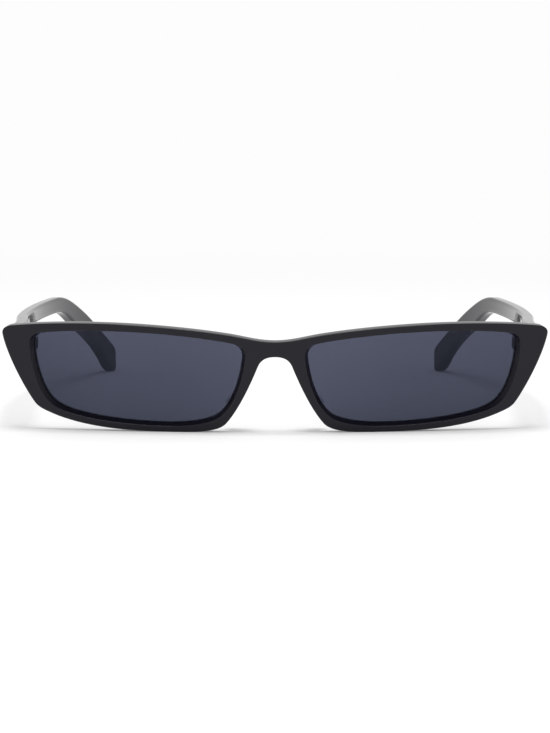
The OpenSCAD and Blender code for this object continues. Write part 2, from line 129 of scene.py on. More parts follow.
def soften(points, reach, steps):
    """A broken line whose corners are parabolas, which start and end at that reach from each corner."""
    points = np.asarray(points, float)
    out = [points[:1]]
    t = (np.arange(steps + 1) / steps)[:, None]
    for before, corner, after in zip(points, points[1:], points[2:]):
        one, two = before - corner, after - corner
        a = corner + one * min(reach / np.linalg.norm(one), 0.45)
        b = corner + two * min(reach / np.linalg.norm(two), 0.45)
        out.append((1 - t) ** 2 * a + 2 * t * (1 - t) * corner + t ** 2 * b)
    return np.vstack(out + [points[-1:]])


# %% The outline of the front and of a lens
bridge_top = (0, brow_h - bridge_dip)
bridge_under = (0, brow_h - bridge_dip - bridge_h)
side_top = (half_w, brow_h - corner_drop - corner_r)
fine, lens_finer, flank_steps = 6, 4, 12
front_upper = smooth_line([
    (bridge_top, 0, 0, 0.36, 12),
    ((0.96 * nose_half_w, brow_h - 0.56 * bridge_dip), 8.5, 0.32, 0.31, 10),
    ((0.61 * half_w, brow_h), 0, 0.32, 0.34, 12),
    ((half_w - corner_r, brow_h - corner_drop), -8, 0.32, 0.42, 5),
    (side_top, -99, 0.4, 0, 0)], fine)
front_lower = smooth_line([
    (bridge_under, 0, 0, 0.39, 4),
    ((0.35 * nose_half_w, 0.873 * bridge_under[1]), -68, 0.42, 0.35, 8),
    ((nose_half_w, 0.09 * brow_h), -49, 0.27, 0.2, 6),
    ((0.43 * half_w, 0), 0, 0.49, 0.34, 12),
    ((0.83 * half_w, 0.143 * brow_h), 22.5, 0.3, 0.37, 3),
    ((0.886 * half_w, 0.235 * brow_h), 55, 0.36, 0.3, 6),
    (side_top, 81, 0.24, 0, 0)], fine)
lens_nose, lens_temple = (-0.98, 0.4), (1, 0.5)
unit_ring = ring(
    smooth_line([
        (lens_nose, 95, 0, 0.56, 4),
        ((-0.86, 0.775), 22.5, 0.25, 0.28, 12),
        ((0.84, 0.905), -14, 0.36, 0.3, 5),
        (lens_temple, -92, 0.7, 0, 0)], lens_finer * fine),
    smooth_line([
        (lens_nose, -87, 0, 0.32, 6),
        ((-0.72, -0.83), -51, 0.2, 0.3, 3),
        ((-0.25, -1), 0, 0.4, 0.34, 6),
        ((0.62, -0.8), 30, 0.31, 0.32, 2),
        ((0.85, -0.52), 70, 0.41, 0.25, 3),
        (lens_temple, 88, 0.34, 0, 0)], lens_finer * fine))
print("points on the half outline:", len(front_upper) + len(front_lower), "round a lens:", len(unit_ring))

# %% [markdown]
# ## The bend of the front
# The real front is cut from a flat sheet of plastic, warmed and pressed over a form, so that it wraps the
# face. A bend tool could do that to a flat mesh. A formula does it exactly: the flat drawing is laid round
# an upright drum, the drum leans forward, and the lowest line is set on the table.

# %% From the flat drawing to the bent, leaning front
eye_turn = math.asin(eye_x / wrap_r)


def unrolled(x, turn=0.0):
    """The distance along the drum of a point of the flat drawing: the drum's radius times its angle."""
    return wrap_r * (np.arcsin(x / wrap_r) + turn)


def on_drum(along, depth, height):
    """A point at a distance along the drum, at a depth behind its skin and at a height."""
    angle = along / wrap_r
    return np.stack(np.broadcast_arrays(
        (wrap_r - depth) * np.sin(angle), wrap_r - (wrap_r - depth) * np.cos(angle), height), axis=-1)


def leaned(points):
    """The points turned about X, so that what is high comes forward by the lean."""
    x, y, z = np.moveaxis(points, -1, 0)
    turned_y = y * math.cos(lean) - z * math.sin(lean)
    turned_z = y * math.sin(lean) + z * math.cos(lean)
    return np.stack([x, turned_y, turned_z], axis=-1)


# Once leaned, the lowest point of the rounded front edge lies a little below the line where the rounding
# meets the wall. The seat lifts the front by that sag.
rough_front = leaned(on_drum(unrolled(front_lower[:, 0]), face_r, front_lower[:, 1]))
rough_brow = leaned(on_drum(unrolled(front_upper[:, 0]), 0.0, front_upper[:, 1] - face_r))
sag = face_r * (1 - math.cos(lean))
seat = np.array([0, front_low.y + sag - rough_brow[:, 1].min(), sag - rough_front[:, 2].min()])


def placed(along, depth, height):
    """A point of the flat drawing, bent, leaned and moved to where the construction stands."""
    return leaned(on_drum(along, depth, height)) + seat


print("the front moves back by", round(seat[1] / MM, 3), "and down by", round(-seat[2] / MM, 3), "mm")

# %% [markdown]
# ## From grids to meshes
# Every new piece is a grid of points, worked out as a whole array. One helper turns grids into faces, welds
# what meets, points all faces outwards and stores one value per point: how much it lies on a rounded edge.
# Polishing wears edges most, and the materials read that value.

# %% Mesh helpers
weld = 0.0002 * MM
round_steps, sharp_angle = 7, math.radians(40)
scene = bpy.context.scene


def grid_faces(rows, columns, closed, start=0, keep=None):
    """Four-sided faces between neighbouring rows and columns of a grid whose points count row by row."""
    r = np.arange(rows - 1)[:, None]
    c = np.arange(columns if closed else columns - 1)[None, :]
    if keep is not None:
        c = c[:, keep]
    after = (c + 1) % columns
    quads = np.stack(np.broadcast_arrays(
        r * columns + c, r * columns + after, (r + 1) * columns + after, (r + 1) * columns + c), axis=-1)
    return quads.reshape(-1, 4) + start


def make_piece(name, grids, mirror=False, caps=()):
    """One object from grids (points, edge values, closed). With mirror, the mirror image in X is added."""
    points, edges, faces, start = [], [], [], 0
    for xyz, edge, closed in grids:
        rows, columns = xyz.shape[:2]
        points.append(xyz.reshape(-1, 3))
        edges.append(np.broadcast_to(edge, (rows, columns)).reshape(-1))
        faces.append(grid_faces(rows, columns, closed, start))
        start += rows * columns
    points, edges, faces = np.vstack(points), np.concatenate(edges), np.vstack(faces)
    if mirror:
        faces = np.vstack([faces, faces[:, ::-1] + len(points)])
        points = np.vstack([points, points * [-1, 1, 1]])
        edges = np.concatenate([edges, edges])
    mesh = bpy.data.meshes.new(name)
    mesh.from_pydata(points.tolist(), [], faces.tolist() + [list(cap) for cap in caps])
    mesh.attributes.new("edge", "FLOAT", "POINT").data.foreach_set("value", edges.astype(np.float32))
    return finish_mesh(name, mesh)


def finish_mesh(name, mesh):
    """The mesh with doubles merged, faces without area removed and all faces turned outwards."""
    work = bmesh.new()
    work.from_mesh(mesh)
    bmesh.ops.remove_doubles(work, verts=work.verts, dist=weld)
    bmesh.ops.dissolve_degenerate(work, dist=weld / 4, edges=work.edges)
    bmesh.ops.recalc_face_normals(work, faces=work.faces)
    open_edges = sum(len(e.link_faces) != 2 for e in work.edges)
    work.to_mesh(mesh)
    work.free()
    mesh.polygons.foreach_set("use_smooth", np.ones(len(mesh.polygons), bool))
    piece = bpy.data.objects.new(name, mesh)
    scene.collection.objects.link(piece)
    print(f"{name}: {len(mesh.vertices)} points, {len(mesh.polygons)} faces, {open_edges} open edges")
    return piece


# %% [markdown]
# ## The front
# The front is one piece of black sheet plastic. A cutter mills the outline and the two lens openings, and a
# drum of wooden chips rounds and polishes its edges. It could be an outline that is extruded and bevelled,
# but bevels on such narrow rims leave long thin faces that show in gloss. Here four strips run round each
# lens instead: the front face, the rounded outer wall, the back face, and the bevel with the lens groove.

# %% Columns round one half of the front
def inset(points, amount):
    """A clockwise open line moved inwards, square to its own direction. At its two ends, on the middle of
    the front, it runs level."""
    around = np.vstack([points[1] * [-1, 1], points, points[-2] * [-1, 1]])
    along = around[2:] - around[:-2]
    along = along / np.linalg.norm(along, axis=1, keepdims=True)
    return points + amount * np.stack([along[:, 1], -along[:, 0]], axis=1)


# The rounded edge of the bent front swells a little past its outline, so the outline is drawn narrower
swell = 0.065 * MM
outline = np.vstack([front_upper, front_lower[-2::-1]])
outline = outline * [(half_w - swell) / outline[:, 0].max(), 1]
middle_steps = 14
rise = (np.arange(1, middle_steps) / middle_steps)[:, None]


def face_border(amount):
    """The outer border of the front or back face: the inset outline, closed along the middle line."""
    line = inset(outline, amount)
    line = np.vstack([line, line[-1] + (line[0] - line[-1]) * rise])
    return np.stack([unrolled(line[:, 0]), line[:, 1]], axis=1)


# From this height in the unit box, level with the bridge, a straight line reaches every point of the border
# without leaving the plastic. From the middle of the lens the faces under the bridge would fold.
sight = 0.656


def eye_angle(flat):
    """The direction of a point as seen from the sight point in the lens, in a box stretched to a square."""
    x = (flat[:, 0] - wrap_r * eye_turn) / (opening_w / 2)
    return np.arctan2((flat[:, 1] - eye_h) / (opening_h / 2) - sight, x)


def unit_at(angle):
    """The points of the unit lens outline in given directions, read between its own points."""
    own = np.arctan2(unit_ring[:, 1] - sight, unit_ring[:, 0])
    order = np.argsort(own)
    return np.stack([np.interp(angle, own[order], unit_ring[order, k], period=2 * math.pi)
                     for k in (0, 1)], axis=1)


columns = unit_at(eye_angle(face_border(back_r)))


def opening(unit, side, low, high):
    """The lens outline grown by a margin at each side of its box, unrolled along the drum."""
    x = unit[:, 0] * (opening_w / 2 + side)
    y = eye_h + (high - low) / 2 + unit[:, 1] * (opening_h / 2 + (high + low) / 2)
    return np.stack([unrolled(x, eye_turn), y], axis=1)


print("columns round each lens:", len(columns))

# %% Profiles across the rim, and the finished front
quarter = np.linspace(0, math.pi / 2, round_steps)
round_in, round_deep = 1 - np.sin(quarter), 1 - np.cos(quarter)
wall_steps = 5
wall = np.linspace(face_r, front_t - back_r, wall_steps)[1:-1]
wall_profile = np.concatenate([
    np.stack([face_r * round_in, face_r * round_deep], axis=1),
    np.stack([0 * wall, wall], axis=1),
    np.stack([back_r * round_in[::-1], front_t - back_r * round_deep[::-1]], axis=1)])
# Across the seat: reach of the bevel at the sides, growth beyond the opening, depth. Two rows on the bevel
# itself, at a fifth of its way from either end, keep it flat between its rounded edges.
face_round, back_round, seat_round, flat_end = 0.3 * MM, 0.3 * MM, 0.16 * MM, 0.2
seat_profile = soften([
    (bevel_side + face_round, 0, 0),
    (bevel_side, 0, 0),
    ((1 - flat_end) * bevel_side, 0, flat_end * lens_set),
    (flat_end * bevel_side, 0, (1 - flat_end) * lens_set),
    (0, 0, lens_set),
    (0, groove_d, lens_set + lens_t / 2),
    (0, 0, lens_set + lens_t),
    (0, 0, front_t),
    (0, back_round, front_t)], seat_round, 4)
face_shares = np.array([0, 0.03, 0.12, 0.35, 0.65, 0.88, 0.97, 1])


def seat_row(row):
    """One line round the lens seat at a row of the profile, unrolled."""
    bevel, growth = row[0] / bevel_side, row[1]
    return opening(columns, *(bevel * reach + growth for reach in (bevel_side, bevel_low, bevel_top)))


seat_rows = np.stack([seat_row(row) for row in seat_profile])
seat_grid = placed(seat_rows[..., 0], seat_profile[:, 2][:, None], seat_rows[..., 1])
wall_rows = np.stack([inset(outline, row[0]) for row in wall_profile])
wall_grid = placed(unrolled(wall_rows[..., 0]), wall_profile[:, 1][:, None], wall_rows[..., 1])
shares = face_shares[:, None, None]
front_face = (1 - shares) * seat_rows[0] + shares * face_border(face_r)
back_face = (1 - shares) * seat_rows[-1] + shares * face_border(back_r)
from_front, from_back = wall_profile[:, 1] / face_r, (front_t - wall_profile[:, 1]) / back_r
wall_edge = np.clip(1 - np.minimum(from_front, from_back), 0, 1)
front = make_piece("front", [
    (placed(front_face[..., 0], 0.0, front_face[..., 1]), 0.0, True),
    (wall_grid, wall_edge[:, None], False),
    (placed(back_face[..., 0], front_t, back_face[..., 1]), 0.0, True),
    (seat_grid, 0.0, True)], mirror=True)

# %% [markdown]
# ## The end pieces
# Behind each outer corner a block of the same plastic carries the hinge. On the real frame it is glued on
# or left standing when the sheet is milled. It is a plan, drawn from above, carried up from its lower to its
# upper edge and drawn in a little at both, so that its edges are round. Its hinge pocket is cut with a
# Boolean, because the metal plate lies flush in it.

# %% End pieces with their hinge pockets
end_t, end_reach, end_chamfer, plate_t, plate_gap = 1.9 * MM, 7.7 * MM, 0.4 * MM, 0.9 * MM, 0.02 * MM
temple_inset, root_t, root_h, barrel_r, barrel_clear = 1.8 * MM, 3.4 * MM, 6 * MM, 1.3 * MM, 0.25 * MM
joint_gap = 0.08 * MM
temple_low, temple_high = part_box("temple_left")
temple_top, hinge_y = temple_high.z, temple_low.y - joint_gap
temple_x = half_w - temple_inset
temple_in_x = temple_x - root_t
end_in_x, end_back_y = temple_x - end_reach, hinge_y - barrel_r - barrel_clear


def box_cutter(low, high):
    """A plain block between two corners, which is only used to cut and is then removed."""
    ends = list(zip(low, high))
    corners = np.array([[x, y, z] for x in ends[0] for y in ends[1] for z in ends[2]])
    sides = [(0, 1, 3, 2), (4, 6, 7, 5), (0, 4, 5, 1), (2, 3, 7, 6), (0, 2, 6, 4), (1, 5, 7, 3)]
    mesh = bpy.data.meshes.new("cutter")
    mesh.from_pydata(corners.tolist(), [], sides)
    cutter = bpy.data.objects.new("cutter", mesh)
    scene.collection.objects.link(cutter)
    return cutter


def cut(piece, cutter):
    """The piece with the cutter's space taken away, kept as a plain mesh."""
    tool = piece.modifiers.new("cut", "BOOLEAN")
    tool.operation, tool.solver, tool.object = "DIFFERENCE", "EXACT", cutter
    whole = bpy.data.meshes.new_from_object(piece.evaluated_get(bpy.context.evaluated_depsgraph_get()))
    piece.modifiers.clear()
    piece.data = whole
    bpy.data.objects.remove(cutter)
    whole.set_sharp_from_angle(angle=sharp_angle)
    return piece


def mirrored(points, side):
    """The points for the wearer's left, or their mirror image for the right."""
    return points * [1 if side == "left" else -1, 1, 1]


def end_piece(side):
    """The plan's outline at rising heights, drawn in by the rounding of the upper and the lower edge. Beside
    the lens groove the plan is sunk into the front, and behind the opening it only touches the back."""
    back_y = end_back_y - end_t
    sunk_y, sunk_in_x = back_y - front_t / 2, half_w - rim_side + 2 * groove_d
    plan = np.array([
        (temple_in_x, end_back_y), (temple_in_x, hinge_y), (temple_x, hinge_y), (temple_x, sunk_y),
        (sunk_in_x, sunk_y), (sunk_in_x, back_y), (end_in_x, back_y), (end_in_x, end_back_y)])
    middles = (plan + np.roll(plan, -1, axis=0)) / 2
    closed = np.vstack([middles[-1:], np.stack([plan, middles], axis=1).reshape(-1, 2)])
    line = soften(closed, end_chamfer, 5)[:-1]
    keep = np.linalg.norm(line - np.roll(line, 1, axis=0), axis=1) > 4 * weld
    line = line[keep]
    along = np.roll(line, -1, axis=0) - np.roll(line, 1, axis=0)
    inwards = np.stack([along[:, 1], -along[:, 0]], axis=1) / np.linalg.norm(along, axis=1, keepdims=True)
    levels = edge_r * np.concatenate([
        np.stack([round_in, temple_top / edge_r - round_deep], axis=1),
        np.stack([round_in[::-1], (temple_top - root_h) / edge_r + round_deep[::-1]], axis=1)])
    n = len(line)
    ringed = np.stack([np.column_stack([line + row[0] * inwards, np.full(n, row[1])]) for row in levels])
    caps = [range(n), range(len(levels) * n - 1, (len(levels) - 1) * n - 1, -1)]
    edge = (levels[:, 0] / edge_r)[:, None]
    piece = make_piece(f"end_piece_{side}", [(mirrored(ringed, side), edge, True)], caps=caps)
    low, high = (np.array(c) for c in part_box(f"front_hinge_{side}"))
    inner, outer = sorted([low[0], high[0]])
    pocket_low = (inner - plate_gap, end_back_y - plate_t - plate_gap, low[2] - plate_gap)
    pocket_high = (outer + plate_gap, end_back_y + plate_t, high[2] + plate_gap)
    return cut(piece, box_cutter(pocket_low, pocket_high))


end_pieces = [end_piece(side) for side in ("left", "right")]

# %% [markdown]
# ## The lenses
# A lens is cut from a curved, dyed plastic blank, and its edge is ground to a V that snaps into the groove.
# A flat slab of glass would mirror one even tone. A real lens is slightly domed and its reflection changes
# from top to bottom, so each row of points, from the middle outwards, is set back a little more.

# %% Lenses as rows from the middle of the front over the edge to the middle of the back
dome = 0.25 * MM
lens_rows = 16
lens_columns = unit_ring[::lens_finer]


def lens(side):
    """Each row is the lens outline shrunk towards its middle. Its depth falls by the dome times one minus the
    share squared, and the V edge is one more row, grown to the bottom of the groove."""
    share = np.sin(np.linspace(0, math.pi / 2, lens_rows))
    front_rows = np.stack([share, 0 * share - lens_gap, lens_set - dome * (1 - share ** 2)], axis=1)
    back_rows = front_rows[::-1] + [0, 0, lens_t]
    edge_row = np.array([[1, groove_d - lens_gap, lens_set + lens_t / 2]])
    rows = np.vstack([front_rows, edge_row, back_rows])
    middle_point = np.array([wrap_r * eye_turn, eye_h])
    flat = np.stack([middle_point + row[0] * (opening(lens_columns, row[1], row[1], row[1]) - middle_point)
                     for row in rows])
    grid = mirrored(placed(flat[..., 0], rows[:, 2][:, None], flat[..., 1]), side)
    return make_piece(f"tinted_lens_{side}", [(grid, 0.0, True)])


lenses = [lens(side) for side in ("left", "right")]

# %% [markdown]
# ## The nose pads
# Behind the flanks of the rims two small teardrops rest on the nose. They are cut from the same plastic and
# cemented on. A stretched ball would look like a bead, so the pad is a row of level sections instead. Each
# is a long oval that stands out from the rim to the back, and the sections shrink towards the top.

# %% Nose pads as level ovals
pad_h, pad_len, pad_out, pad_r = 11 * MM, 11 * MM, 5 * MM, 1.1 * MM
pad_splay, pad_upper, pad_columns, pad_rows = 0.1, 0.8, 56, 10
pad_cement = 0.02 * MM


def nose_pad(side):
    """Level ovals: half circles of one radius round two centres. Radius and centres change evenly with
    height, and at both ends the radius follows a quarter circle to nothing. No point enters the front."""
    small_r = pad_r * pad_upper
    low, high = pad_h - pad_len / 2 + pad_r, pad_h + pad_len / 2 - small_r
    turn = np.linspace(0, math.pi / 2, pad_rows)
    height = np.concatenate([low - pad_r * np.cos(turn), np.linspace(low, high, pad_rows)[1:-1],
                             high + small_r * np.cos(turn[::-1])])
    along = np.clip((height - low) / (high - low), 0, 1)
    full = pad_r + (small_r - pad_r) * along
    beyond = np.maximum(low - height, height - high).clip(0)
    radius = np.sqrt(np.maximum(full ** 2 - beyond ** 2, 0))
    out = pad_out * (1 + (pad_upper - 1) * along) - full
    flank = front_lower[:flank_steps * fine + 1][::-1]
    root_x = np.interp(low + (high - low) * along, flank[:, 1], flank[:, 0]) + edge_r + full
    way = np.array([pad_splay, 1]) / math.hypot(pad_splay, 1)
    spin = np.linspace(0, 2 * math.pi, pad_columns, endpoint=False)
    facing = np.stack([np.cos(spin), np.sin(spin)], axis=1)
    far = (facing @ way > 0)[None, :]
    x = root_x[:, None] + np.where(far, out[:, None] * pad_splay, 0) + radius[:, None] * facing[:, 0]
    y = front_t + np.where(far, out[:, None], 0) + radius[:, None] * facing[:, 1]
    y = np.maximum(y, wrap_r - np.sqrt((wrap_r - front_t - pad_cement) ** 2 - x ** 2))
    z = np.broadcast_to(height[:, None], x.shape)
    grid = mirrored(leaned(np.stack([x, y, z], axis=-1)) + seat, side)
    return make_piece(f"nose_pad_shape_{side}", [(grid, 0.0, True)])


nose_pads = [nose_pad(side) for side in ("left", "right")]

# %% [markdown]
# ## The temples
# A temple is a strip of plastic with a wire core shot into it while warm. It is cut along its side view,
# rounded at the edges, then bent inwards for the head and down behind the ear. A bevelled curve object
# could give a bar of one section only. Here the section changes along the way, so it is swept as a grid:
# from the rounded tip forwards, over the end face at the hinge, and back into the channel of the wire.

# %% The side view of a temple and its bend
temple_len, ear_len, arm_h, taper_len = temple_high.y - hinge_y, 47.5 * MM, 4.5 * MM, 50 * MM
tip_t, straight_len, bend_r, temple_edge = 2.9 * MM, 37 * MM, 230 * MM, 0.7 * MM
tip_round, end_round, plate_start, plate_len = 3 * MM, 0.2 * MM, 1.8 * MM, 7.5 * MM
bow, bow_len = 1.45 * MM, 24 * MM
core_r, core_gap, core_short = 0.55 * MM, 0.03 * MM, 28 * MM
wire_rows, end_steps, rim_wear, end_wear = 40, 4, 0.6, 0.9
ear_start = temple_len - ear_len
temple_fine = 5


def ear(along, up):
    """A point behind the ear, in a box from the start of the drop to the tip and from table to top."""
    return ear_start + along * ear_len, up * temple_top


temple_upper = smooth_line([
    ((joint_gap, temple_top), 0, 0, 0.33, 9),
    ((taper_len, temple_top), 0, 0.33, 0.33, 6),
    ((ear_start, temple_top), 0, 0.33, 0.37, 6),
    (ear(0.46, 0.795), -23.5, 0.3, 0.33, 6),
    (ear(0.85, 0.41), -34, 0.3, 0.43, 6),
    (ear(1, 0.13), -90, 0.28, 0, 0)], temple_fine)
temple_lower = smooth_line([
    ((joint_gap, temple_top - root_h), 0, 0, 0.33, 9),
    ((taper_len, temple_top - arm_h), 0, 0.33, 0.33, 6),
    ((ear_start, temple_top - arm_h), 0, 0.33, 0.38, 6),
    (ear(0.39, 0.61), -23.5, 0.3, 0.33, 6),
    (ear(0.83, 0.15), -45.5, 0.35, 0.38, 4),
    (ear(0.95, 0), 0, 0.24, 0.36, 2),
    (ear(1, 0.13), 90, 0.47, 0, 0)], temple_fine)


def bent(y, sideways):
    """Where a point comes to lie across the glasses: sideways counts outwards from the temple's middle. That
    bows outwards along half a wave of a cosine behind the hinge plate, and then bends inwards along an arc of
    a circle. The slant of both widens the section."""
    phase = math.pi * np.clip((y - plate_start - plate_len) / bow_len, 0, 1)
    d = np.maximum(y - straight_len, 0)
    root = np.sqrt(bend_r ** 2 - d ** 2)
    half = (root_t + (tip_t - root_t) * y / temple_len) / 2
    slant = np.sqrt(1 + (d / root - bow * np.sin(phase) * math.pi / 2 / bow_len) ** 2)
    return temple_x - (bend_r - root) + bow * (1 - np.cos(phase)) / 2 + (sideways - half) * slant


# %% Temples as swept sections
def section_columns():
    """The section as four numbers a column: how far down from the upper to the lower edge, how much of the
    rounding is added upwards, how far sideways from -1 to 1, and how much of the rounding is drawn in."""
    turn = np.linspace(0, math.pi / 2, round_steps)
    down, side_in = 1 - np.cos(turn), 1 - np.sin(turn)
    flat = np.linspace(0, 1, round_steps)[1:-1]
    none, ones = 0 * turn, 1 + 0 * turn
    upper_outer = np.stack([none, -down, ones, side_in], axis=1)
    outer = np.stack([flat, 2 * flat - 1, 1 + 0 * flat, 0 * flat], axis=1)
    lower_outer = np.stack([ones, down[::-1], ones, side_in[::-1]], axis=1)
    under = np.stack([1 + 0 * flat, 0 * flat, 1 - 2 * flat, 1 + 0 * flat], axis=1)
    half = np.vstack([upper_outer, outer, lower_outer, under])
    other = half * [1, 1, -1, 1]
    other[:, 0], other[:, 1] = 1 - half[:, 0], -half[:, 1]
    return np.vstack([half, other])


def temple(side):
    """Sections from the tip to the hinge, a small round at the end face, then circles back along the wire.
    A section lies between the upper and the lower edge of the side view, with its corners rounded."""
    section = section_columns()
    upper, lower = temple_upper[::-1, None, :], temple_lower[::-1, None, :]
    height = np.linalg.norm(upper - lower, axis=-1, keepdims=True)
    up = (upper - lower) / np.maximum(height, weld)
    edge = np.minimum(temple_edge, 0.45 * height)
    yz = upper + (lower - upper) * section[:, 0, None] + up * edge * section[:, 1, None]
    end = np.maximum(yz[..., 0] - temple_len + tip_round, 0) / tip_round
    taper = np.sqrt(np.maximum(1 - end ** 2, 0))
    thick = root_t + (tip_t - root_t) * yz[..., 0] / temple_len
    sideways = (thick / 2 - section[:, 3] * edge[..., 0]) * section[:, 2] * taper
    outer = np.stack([bent(yz[..., 0], sideways), yz[..., 0] + hinge_y, yz[..., 1]], axis=-1)
    # The end face at the hinge, drawn in with a small round
    last = outer[-1]
    ahead = np.roll(last, -1, axis=0) - np.roll(last, 1, axis=0)
    inward = np.stack([ahead[:, 2], 0 * ahead[:, 0], -ahead[:, 0]], axis=1)
    inward = inward / np.linalg.norm(inward, axis=1, keepdims=True)
    centre = last.mean(axis=0)
    inward = inward * np.sign(((centre - last) * inward).sum(axis=1, keepdims=True))
    turn = np.linspace(0, math.pi / 2, end_steps)[:, None, None]
    forward = np.array([0, end_round, 0])
    rounded = last + inward * end_round * (1 - np.cos(turn)) + forward * (1 - np.sin(turn))
    outer[-1] = rounded[0]
    # The channel, with its circles turned square to the wire
    wire_y = np.linspace(joint_gap, temple_len - core_short, wire_rows)[:, None]
    wire_z = (np.interp(wire_y, temple_upper[:, 0], temple_upper[:, 1])
              + np.interp(wire_y, temple_lower[:, 0], temple_lower[:, 1])) / 2
    spin = np.arctan2(last[:, 2] - centre[2], last[:, 0] - centre[0])
    bore = core_r + core_gap
    channel = np.stack([bent(wire_y, bore * np.cos(spin)),
                        np.broadcast_to(wire_y + hinge_y, (wire_rows, len(spin))),
                        wire_z + bore * np.sin(spin)], axis=-1)
    closed_end = np.broadcast_to(channel[-1].mean(axis=0), channel[-1].shape)
    grid = np.concatenate([outer, rounded[1:], channel, closed_end[None]])
    wear = np.zeros(grid.shape[:2])
    wear[:len(outer)] = rim_wear * np.clip(section[:, 3], 0, 1)
    wear[len(outer):len(outer) + len(rounded) - 1] = end_wear
    piece = make_piece(f"temple_arm_{side}", [(mirrored(grid, side), wear, True)])
    low, high = (np.array(c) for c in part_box(f"temple_hinge_{side}"))
    plate_y = hinge_y + plate_start - plate_gap
    outer_x = max(abs(low[0]), abs(high[0])) + plate_gap
    inner_x = temple_in_x - plate_t
    x_range = sorted([inner_x, outer_x]) if side == "left" else sorted([-inner_x, -outer_x])
    return cut(piece, box_cutter((x_range[0], plate_y, low[2] - plate_gap),
                                 (x_range[1], high[1] + plate_gap, high[2] + plate_gap)))


temples = [temple(side) for side in ("left", "right")]

# %% [markdown]
# ## Shared finishes
# Three things show on every handled surface: fine scratches, a film of dust and finger marks, and edges that
# the polishing wheel has caught. They could be painted into each material again and again. A node group is
# built once instead, and each material sets its own values.

# %% Node group helpers
def socket(tree, name, kind, way, value=None):
    """One named input or output of a node group."""
    made = tree.interface.new_socket(name=name, socket_type=kind, in_out=way)
    if value is not None:
        made.default_value = value
    return made


def node(tree, kind, **settings):
    """A new node with its properties set."""
    made = tree.nodes.new(kind)
    for name, value in settings.items():
        setattr(made, name, value)
    return made


def plug(tree, value, target):
    """A link from an output, or a plain value set on the input."""
    if isinstance(value, bpy.types.NodeSocket):
        tree.links.new(value, target)
    else:
        target.default_value = value


def maths(tree, operation, a, b=0.0, clamp=False):
    """One step of arithmetic between two values."""
    step = node(tree, "ShaderNodeMath", operation=operation, use_clamp=clamp)
    plug(tree, a, step.inputs[0])
    plug(tree, b, step.inputs[1])
    return step.outputs[0]


def noise(tree, vector, scale, detail=2.0, rough=0.5, stretch=(1, 1, 1), turn=(0, 0, 0)):
    """Soft noise on a turned and stretched copy of the coordinates."""
    mapping = node(tree, "ShaderNodeMapping")
    plug(tree, vector, mapping.inputs["Vector"])
    mapping.inputs["Rotation"].default_value = turn
    mapping.inputs["Scale"].default_value = stretch
    texture = node(tree, "ShaderNodeTexNoise")
    plug(tree, mapping.outputs[0], texture.inputs["Vector"])
    plug(tree, scale, texture.inputs["Scale"])
    plug(tree, detail, texture.inputs["Detail"])
    plug(tree, rough, texture.inputs["Roughness"])
    return texture.outputs["Factor"] if "Factor" in texture.outputs else texture.outputs["Fac"]


def between(tree, value, low, high):
    """The value stretched so that low becomes 0 and high becomes 1, held inside that range."""
    step = node(tree, "ShaderNodeMapRange", clamp=True)
    plug(tree, value, step.inputs["Value"])
    plug(tree, low, step.inputs["From Min"])
    plug(tree, high, step.inputs["From Max"])
    return step.outputs["Result"]


# %% Group: fine scratches
def scratches_group():
    """Streaks: noise that is stretched forty times along one line, twice over, and kept where it peaks."""
    tree = bpy.data.node_groups.new("fine_scratches", "ShaderNodeTree")
    socket(tree, "Vector", "NodeSocketVector", "INPUT")
    socket(tree, "Scale", "NodeSocketFloat", "INPUT", 900.0)
    socket(tree, "Amount", "NodeSocketFloat", "INPUT", 0.5)
    socket(tree, "Mask", "NodeSocketFloat", "OUTPUT")
    given, result = node(tree, "NodeGroupInput"), node(tree, "NodeGroupOutput")
    streaks = [between(tree, noise(tree, given.outputs["Vector"], given.outputs["Scale"], 1.0,
                                   stretch=stretch, turn=turn), 0.63, 0.74)
               for stretch, turn in (((0.04, 1, 1), (0.0, 0.5, 0.4)), ((0.05, 1, 1), (0.3, -0.9, 1.1)),
                                     ((1, 0.04, 1), (0.5, 0.2, -0.5)))]
    both = maths(tree, "MAXIMUM", maths(tree, "MAXIMUM", streaks[0], streaks[1]), streaks[2])
    tree.links.new(maths(tree, "MULTIPLY", both, given.outputs["Amount"]), result.inputs["Mask"])
    return tree


# %% Group: dust and finger marks
def film_group():
    """A soft cloud for finger marks, and specks of dust where fine noise peaks inside a coarse cloud."""
    tree = bpy.data.node_groups.new("film_and_dust", "ShaderNodeTree")
    socket(tree, "Vector", "NodeSocketVector", "INPUT")
    socket(tree, "Scale", "NodeSocketFloat", "INPUT", 60.0)
    socket(tree, "Film", "NodeSocketFloat", "OUTPUT")
    socket(tree, "Dust", "NodeSocketFloat", "OUTPUT")
    given, result = node(tree, "NodeGroupInput"), node(tree, "NodeGroupOutput")
    cloud = noise(tree, given.outputs["Vector"], given.outputs["Scale"], 4.0, 0.6)
    film = between(tree, cloud, 0.38, 0.72)
    fine_scale = maths(tree, "MULTIPLY", given.outputs["Scale"], 60.0)
    specks = between(tree, noise(tree, given.outputs["Vector"], fine_scale, 1.0), 0.72, 0.78)
    tree.links.new(film, result.inputs["Film"])
    tree.links.new(maths(tree, "MULTIPLY", specks, film), result.inputs["Dust"])
    return tree


